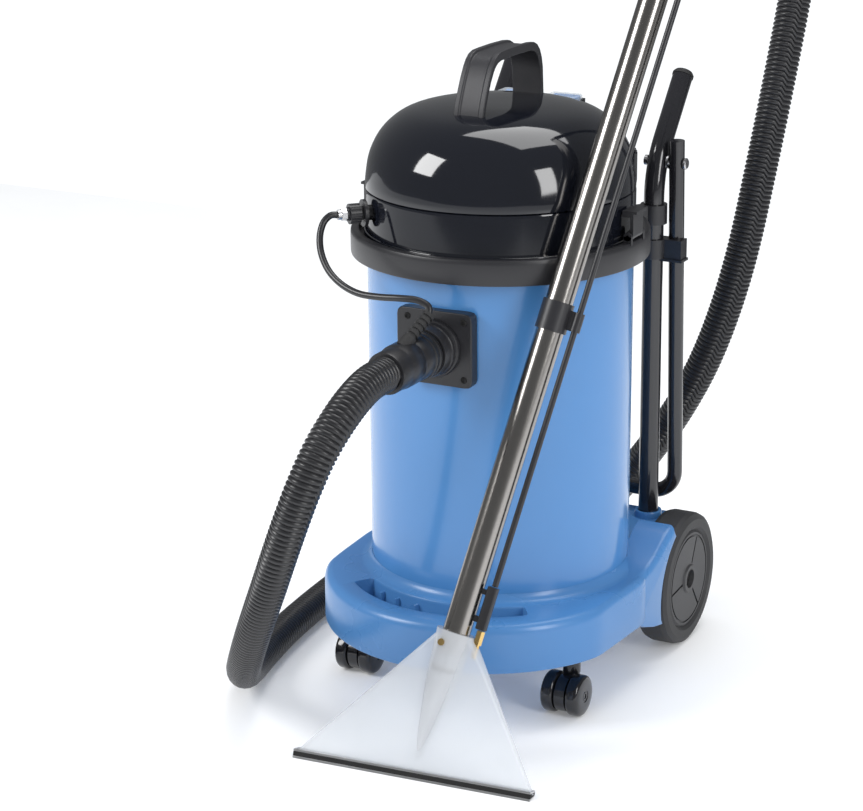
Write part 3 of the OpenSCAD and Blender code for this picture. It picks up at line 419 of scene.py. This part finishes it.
RING_PROFILE = [
    (158, 528), (175.6, 528), (177, 528.5), (177.5, 530), (177.5, 552), (177.2, 555), (176.2, 557.2), (174.6, 558),
    (168.5, 558), (167.4, 557.6), (167, 556.5), (167, 549), (153, 549), (153, 545), (158, 545)]
ring_shapes = [lathe(RING_PROFILE, steps=160)]
for s in (-1, 1):
    for e in (-1, 1):
        ring_shapes.append(box(s * 172 - 5, e * 17 - 2, 555, s * 172 + 5, e * 17 + 2, 565))
        ring_shapes.append(moved(lathe([(0, -2), (5, -2), (5, 2), (0, 2)], 24),
                                 at(s * 172, e * 17, 565) @ turn("X", 90)))
    ring_shapes.append(moved(lathe([(0, -19), (2, -19), (2, 19), (0, 19)], 16), at(s * 172, 0, 565) @ turn("X", 90)))
build("ring", *joined(*ring_shapes), "black_satin", replaces=("rim_ring",))


# ---------------------------------------------------------------- chassis
FRONT_Y = -40
SKIRT_R = 196
DECK_Z = 140
POCKET_EDGE = 35.5
POCKET_FLOOR = 103


def ray_to_circle(angle, radius):
    """Distance from the drum axis to a circle about the front centre; the angle is from -Y towards +X."""
    return -FRONT_Y * math.cos(angle) + math.sqrt(radius ** 2 - (FRONT_Y * math.sin(angle)) ** 2)


SIDE_TAPER = 0.059
SIDE_REACH = 190.1
CORNER_SHARPNESS = 130
REAR_START = 102
REAR_BLEND = 6
DECK_INNER = 171
POCKET_OUTER_R = 166


def chassis_column(degrees):
    """One cut through the tub at an angle from -Y: wall, deck or pocket, fold, skirt and underside."""
    angle = math.radians(degrees)
    edge = ray_to_circle(angle, SKIRT_R)
    sideways = abs(math.sin(angle))
    if sideways > 0.3:
        side = SIDE_REACH / (sideways + SIDE_TAPER * math.cos(angle))
        edge = (edge ** -CORNER_SHARPNESS + side ** -CORNER_SHARPNESS) ** (-1 / CORNER_SHARPNESS)
    rear = min(1, max(0, (abs(degrees) - REAR_START) / REAR_BLEND))
    if rear:
        edge = edge + (max(176, 137 / max(sideways, 0.2) if abs(degrees) < 140 else 190) - edge) * rear
    edge = min(edge, 245)
    low = 80 + 42 * rear if abs(degrees) < 150 else 84
    soft = 0.6 - 0.15 * eased(abs(degrees), 48, 74) if rear == 0 else 0.15
    fold = edge - 19 * soft
    inner = DECK_INNER
    outer = max(inner + 1, min(ray_to_circle(angle, POCKET_OUTER_R), edge - 22)) if rear == 0 else inner + 1
    depth = min(1, max(0, POCKET_EDGE + 0.5 - abs(degrees)))
    floor = DECK_Z - depth * (DECK_Z - POCKET_FLOOR)
    wall = [(0, 91.5), (157.5, 91.5), (157.5, 151), (158, 149.4), (159, 147.2), (160.6, 145), (162.8, 143),
            (165.2, 141.6), (167.6, 140.7), (169.4, 140.2), (inner, DECK_Z)]
    pocket = [(inner + 0.4, DECK_Z - 0.5 * depth), (inner + 1, DECK_Z - 3 * depth), (inner + 1.3, floor + 2 * depth),
              (inner + 2.6, floor), (outer - 1.8, floor), (outer - 0.4, floor + 2 * depth),
              (outer, DECK_Z - 3 * depth), (outer + 0.6, DECK_Z - 0.5 * depth), (outer + 1.6, DECK_Z)]
    span = outer + 1.6 - inner
    if rear or depth == 0:
        pocket = [(inner + span * (k + 1) / 9, DECK_Z) for k in range(9)]
    bend = [(fold, DECK_Z)] + [(edge - back * soft, DECK_Z - down * soft) for back, down in
            ((15, 0.6), (10.5, 2.4), (6.5, 5.4), (3.5, 9.4), (1.4, 14.4), (0.3, 20.5))]
    skirt = [(edge, low + 30 if not rear else low + 1.5), (edge, low + 2.4 - 1.4 * rear), (edge - 0.8, low + 0.6),
             (edge - 2.2, low), (edge - 4, low + 0.4), (edge - 4, max(84, low + 4)), (158.5, 84), (0, 84)]
    return [(r * math.sin(angle), -r * math.cos(angle), z) for r, z in wall + pocket + bend + skirt]


column_angles = sorted({float(a) for a in range(-180, 180, 2)}
                       | {s * (POCKET_EDGE + d) for s in (-1, 1) for d in (-0.9, -0.55, 0, 0.55, 0.9)})
tub = grid([chassis_column(a) for a in column_angles], wrap_rows=True)
tub = (tub[0], [tuple(reversed(face)) for face in tub[1]])


FENDER_TOP = [(-30, 84), (-30, 138.6), (-14, 139.5), (0, 140.1), (10, 140.7), (20, 141.8), (34, 145.5), (48, 151.6),
              (64, 161.4), (78, 170.4), (88, 175.2), (98, 177.5)]
FENDER_ARCH = arc(163, 84, 100, 128, 195, 14)
FENDER_FOOT = [(44, 62), (20, 70), (0, 79)]
FENDER_INNER_X = 143
FENDER_ROUNDING = 9.5


def fender_face_x(y):
    """The fender's outer face: a flat that rises out of the tub's side."""
    return 187.2 + 0.07 * (y - 20)


def fender_shape():
    """A side outline drawn out along X, its outer edge rounded by rings that move in as they go out."""
    outline = FENDER_TOP + FENDER_ARCH + FENDER_FOOT
    weights = [0.2] + [1] * (len(FENDER_TOP) - 1) + [0.4] * len(FENDER_ARCH) + [0.2] * len(FENDER_FOOT)
    weights[len(FENDER_TOP) + len(FENDER_ARCH) - 1] = 0.15
    inward = []
    for i, here in enumerate(outline):
        before, after = Vector(outline[i - 1]), Vector(outline[(i + 1) % len(outline)])
        a, b = (Vector(here) - before).normalized(), (after - Vector(here)).normalized()
        across = Vector((a.y + b.y, -(a.x + b.x))).normalized()
        inward.append(across / max(0.55, across.dot(Vector((a.y, -a.x)))))
    rows = [[(FENDER_INNER_X, y, z) for y, z in outline]]
    for step in range(7):
        t = math.radians(15 * step)
        row = []
        for (y, z), way, weight in zip(outline, inward, weights):
            inset = FENDER_ROUNDING * weight * (1 - math.cos(t))
            y, z = y + way.x * inset, z + way.y * inset
            row.append((fender_face_x(y) - FENDER_ROUNDING * (1 - math.sin(t)), y, z))
        rows.append(row)
    points, faces = grid(rows)
    faces.append(tuple(range(len(points) - len(outline), len(points))))
    faces.append(tuple(reversed(range(len(outline)))))
    return points, [tuple(reversed(face)) for face in faces]


fender = fender_shape()
BLOCK = arc(0, 0, 160.5, 148.6, 31.4, 24) + [(137, 216), (-137, 216)]
BLOCK = list(reversed(BLOCK))
post_socket = lathe([(12.6, 96), (17.5, 96), (17.5, 156), (16.5, 158), (13.5, 158), (12.6, 157)], 40)

build("chassis_tub", *joined(tub), "chassis_blue", replaces=("chassis",), sharp=50)
for s, label in ((1, "right"), (-1, "left")):
    side_fender = fender if s > 0 else mirrored(fender)
    build("fender_" + label, *side_fender, "chassis_blue", sharp=50)
    build("post_socket_" + label, *moved(post_socket, at(s * 116, 188, 0)), "chassis_blue")
    build("castor_boss_" + label, *moved(lathe([(5.7, 66), (13, 66), (13, 84), (5.7, 84)], 32), at(s * 140, -90, 0)),
          "chassis_blue")
    build("axle_boss_" + label, *moved(lathe([(8.2, 0), (16, 0), (16, 36), (8.2, 36)], 32),
                                       at(s * 101, 163, 84) @ turn("Y", s * 90)), "chassis_blue")
build("rear_block", *prism(BLOCK, 72, 150), "chassis_blue", bevel=4, segments=4)
for index, degrees in enumerate((-27, -18, -8)):
    angle = turn("Z", degrees)
    build("pocket_rib_%d" % index, *moved(box(-1.5, -178, POCKET_FLOOR - 1, 1.5, -170.5, 132), angle),
          "chassis_blue", bevel=0.6)


# ---------------------------------------------------------------- inlet
PLATE = [(-48, -27), (-31, -44), (39, -44), (44, -43), (47, -40), (48, -35), (48, 35), (47, 40), (44, 43), (39, 44),
         (-39, 44), (-44, 43), (-47, 40), (-48, 35)]
build("plate", *prism(PLATE, 154, 169.6), "black_satin", INLET, replaces=("inlet_plate",), bevel=1.6)
for x in (-38, 38):
    for z in (-34, 34):
        if (x, z) == (-38, -34):
            x, z = -34, -31
        build("plate_screw_%d_%d" % (x, z), *moved(lathe([(0, 168), (4, 168), (4, 170), (3.4, 170.8),
              (2.2, 171), (2, 170),
              (0, 170)], 24), at(x, z, 0)), "dark", INLET, slot="black_satin",
              replaces=("inlet_screws",) if (x, z) == (38, 34) else ())
COLLAR = [(23.2, 144), (26.8, 144), (26.8, 169), (33, 169), (34, 170), (34, 174), (33.2, 175.2), (31.6, 175.6),
          (31, 177),
          (31, 181), (30.2, 182), (29.6, 184), (29.3, 194), (28.6, 196), (23.2, 196)]
build("collar", *lathe(COLLAR, 72), "black_satin", INLET, replaces=("inlet_collar",))


# ---------------------------------------------------------------- head
def rounded_profile(points, spacing):
    line, _ = smooth_line([(r, z, 0) for r, z in points], spacing)
    return [(p.x, p.y) for p in line]


BAND = [(62, 551), (160.6, 551), (162, 552), (162, 555), (161.4, 556.4), (160.2, 557), (159.6, 560), (159.8, 602),
        (159.2, 605), (157.6, 605.6), (156.5, 606), (156.5, 555), (62, 555)]
build("band", *lathe(BAND, 160), "black_gloss", body="head", replaces=("head_band",))
DOME_CURVE = rounded_profile([(159.6, 611), (158.6, 622), (154.6, 644), (145, 665), (131.5, 681), (114, 693),
                              (92, 700),
                              (60, 704.5), (30, 705.8), (0, 706)], 5)
DOME = [(155, 606.4), (158.6, 606.4), (159.6, 607.2)] + DOME_CURVE + [(0, 702), (60, 700.5), (92, 696), (112, 689.5),
        (128, 678.5), (140, 663), (149.5, 643), (154, 621)]
build("dome", *lathe(DOME, 160), "black_gloss", body="head", replaces=("head_dome",))
for index in range(9):
    rib = box(156.5, -1.1, 612, 160.2, 1.1, 646)
    build("vent_rib_%d" % index, *moved(rib, turn("Z", 20 + 4 * index)), "black_gloss", body="head", bevel=0.5)


def handle_shape():
    """Pairs of outer and inner points round the loop, given width along X."""
    outer = [(-84, 692), (-83, 700), (-80, 712), (-74, 726), (-66, 742), (-58, 755), (-52, 762), (-45, 767),
             (-36, 769.5),
             (-20, 770), (10, 770), (40, 769), (52, 767.5), (60, 764), (67, 757), (72, 747), (75, 735), (76, 720),
             (77, 706), (78, 692)]
    inner = [(-77, 692), (-77, 700), (-74.5, 710), (-69, 723), (-61.5, 738), (-54, 749), (-49, 754), (-43, 757.5),
             (-35, 759.3), (-20, 759.8), (10, 759.8), (38, 759.2), (48, 758), (54.5, 755.2), (60, 750), (64.5, 742),
             (67.5, 732), (69, 719), (70, 706), (71, 692)]
    rows = []
    for (oy, oz), (iy, iz) in zip(outer, inner):
        ty, tz = (iy - oy) * 0.3, (iz - oz) * 0.3
        rows.append([(-19, iy, iz), (-19, oy, oz), (-13, oy, oz), (-11.5, oy + ty, oz + tz), (11.5, oy + ty, oz + tz),
                     (13, oy, oz), (19, oy, oz), (19, iy, iz)])
    points, faces = grid(rows)
    faces.append((0, 1, 2, 3, 4, 5, 6, 7))
    last = len(points)
    faces.append(tuple(reversed(range(last - 8, last))))
    return points, [tuple(reversed(face)) for face in faces]


build("grip_loop", *handle_shape(), "grey_plastic", body="head", replaces=("carry_handle",), bevel=2.2, segments=3)
for x in (-32, 32):
    cover = prism(rounded(40, 27, 5), 690, 697.6)
    build("switch_cover_%d" % (x > 0), *moved(cover, at(x, 105, 0)), "cover_clear", body="head",
          slot="black_satin", bevel=1.6)


# ---------------------------------------------------------------- castors
CASTOR_TYRE = [(3.2, 8.4), (9, 8.4), (9, 9.6), (20, 9.6), (21, 8.4), (22.6, 8.6), (24.2, 9.6), (24.9, 11.4), (25, 13),
               (25, 19.4), (24.6, 21.4), (23.4, 23), (21.2, 24.2), (18, 24.9), (13, 25.2), (7.6, 25.2),
               (7, 24.6), (6.4, 24.2),
               (5.6, 24.2), (5, 24.8), (3.2, 24.8)]


def castor(side, end):
    """Place of a castor's axle middle, Z along the axle."""
    return at(side * 140, -105, 25) @ turn("Y", end * 90)


for s, label in ((-1, "left"), (1, "right")):
    web = prism(arc(0, 0, 22, 0, 360, 40)[:-1], -6.5, 6.5)
    neck = moved(lathe([(0, 0), (10.6, 0), (10.6, 18), (9.6, 19), (0, 19)], 32), at(s * 140, -90, 47))
    bridge = box(s * 140 - 6.2, -100, 28, s * 140 + 6.2, -80.5, 49)
    axle = moved(lathe([(0, -24), (3, -24), (3, 24), (0, 24)], 20), castor(s, 1))
    pin = moved(lathe([(0, 60), (5, 60), (5, 103), (0, 103)], 24), at(s * 140, -90, 0))
    build("castor_yoke_" + label, *joined(moved(web, castor(s, 1)), neck, bridge, axle, pin), "castor_black",
          body="castor_" + label, replaces=("castor_" + label,), slot="black_satin")
for name, s, e in (("lo", -1, -1), ("li", -1, 1), ("ri", 1, -1), ("ro", 1, 1)):
    build("castor_disc_" + name, *moved(lathe(CASTOR_TYRE, 72), castor(s, e)), "castor_black",
          body="castor_wheel_" + name,
          replaces=("castor_wheel_" + name,), slot="black_satin")


# ---------------------------------------------------------------- nozzle and its valve
LIP_HALF = 146
NOZZLE_TOP = 165
NOZZLE_SLANT = 0.178


def nozzle_section(t):
    """A thin rounded rectangle across the fishtail, from the lip at t = 0 to the throat at t = 1."""
    half = LIP_HALF + (23 - LIP_HALF) * t
    thick = 4.6 + 6 * eased(t, 0.1, 1)
    height = 5 + (NOZZLE_TOP - 5) * t
    return [(NOZZLE_SLANT * height + x, y, height) for x, y in rounded(2 * half, 2 * thick, thick * 0.75, 4)]


fishtail = grid([nozzle_section(k / 24) for k in range(25)])
last_ring = len(fishtail[0]) - 20
fishtail[1].append(tuple(reversed(range(20))))
fishtail[1].append(tuple(range(last_ring, last_ring + 20)))
build("nozzle_fishtail", *fishtail, "clear", NOZZLE, replaces=("nozzle_body",))
SPOUT = [(16.1, 172), (22.5, 172), (22.6, 170), (20.8, 152), (19.6, 132), (15.4, 96), (9, 54), (3.4, 24),
         (2.2, 22), (0, 24),
         (7.4, 54), (13.6, 96), (16.1, 128)]
build("nozzle_spout", *lathe(SPOUT, 64), "spout_clear", WAND, slot="clear")
build("nozzle_socket", *lathe([(14.6, 126), (16, 126), (16, 131), (14.6, 131)], 48), "dark", WAND, slot="clear")


build("lip_sole", *bar([(-7, -2.4), (7, 2.95), (7, 4.2), (-7, 0.2)], LIP_HALF), "steel", NOZZLE,
      replaces=("nozzle_lip",), slot="clear", bevel=0.3)
build("lip_seal", *bar([(-6.7, 0.2), (6.7, 4.1), (6.7, 7.4), (-6.7, 5.8)], LIP_HALF), "dark", NOZZLE, slot="clear")
build("lip_rail", *bar([(-7.4, 5.8), (7.4, 7.4), (7.4, 9.4), (-7.4, 8.4)], LIP_HALF), "steel", NOZZLE, slot="clear",
      bevel=0.4)
valve = joined(prism(rounded(12.4, 10, 3, 4), 183, 233),
               moved(prism(rounded(9, 6, 1.5, 3), 190, 197), at(-8.4, 0, 0)),
               moved(prism(rounded(9, 6, 1.5, 3), 222, 228), at(-8.4, 0, 0)))
build("valve_shell", *moved(valve, at(27, 0, 0)), "black_satin", WAND, replaces=("jet_valve",), bevel=0.8)


# ---------------------------------------------------------------- posts and fold handle
def bent_line(start, straight, bend_radius, angle, end, steps=14):
    """A line up +Z, a bend towards +Y and a straight end."""
    line = [Vector((0, 0, z)) for z in (start, (start + straight) / 2, straight)]
    centre = Vector((0, bend_radius, straight))
    for k in range(1, steps + 1):
        a = math.radians(angle * k / steps)
        line.append(centre + Vector((0, -bend_radius * math.cos(a), bend_radius * math.sin(a))))
    way = Vector((0, math.sin(math.radians(angle)), math.cos(math.radians(angle))))
    return line + [line[-1] + way * end / 2, line[-1] + way * end]


for s, label in ((1, "right"), (-1, "left")):
    build("post_tube_" + label, *moved(sweep(bent_line(108, 560, 110, 40, 88), 12.5, 40), at(s * 116, 188, 0)),
          "black_tube",
          replaces=("post_" + label,))


def handle_line():
    line = [Vector((141, 0, 28)), Vector((141, 0, -200)), Vector((141, 0, -401))]
    for k in range(1, 11):
        a = math.radians(9 * k)
        line.append(Vector((111 + 30 * math.cos(a), 0, -401 - 30 * math.sin(a))))
    return line + [Vector((0, 0, -431))] + [Vector((-p.x, 0, p.z)) for p in reversed(line)]


build("push_handle", *sweep(handle_line(), 9.5, 32, side=(0, 1, 0)), "black_tube", HANDLE, body="fold_handle",
      replaces=("fold_handle",))
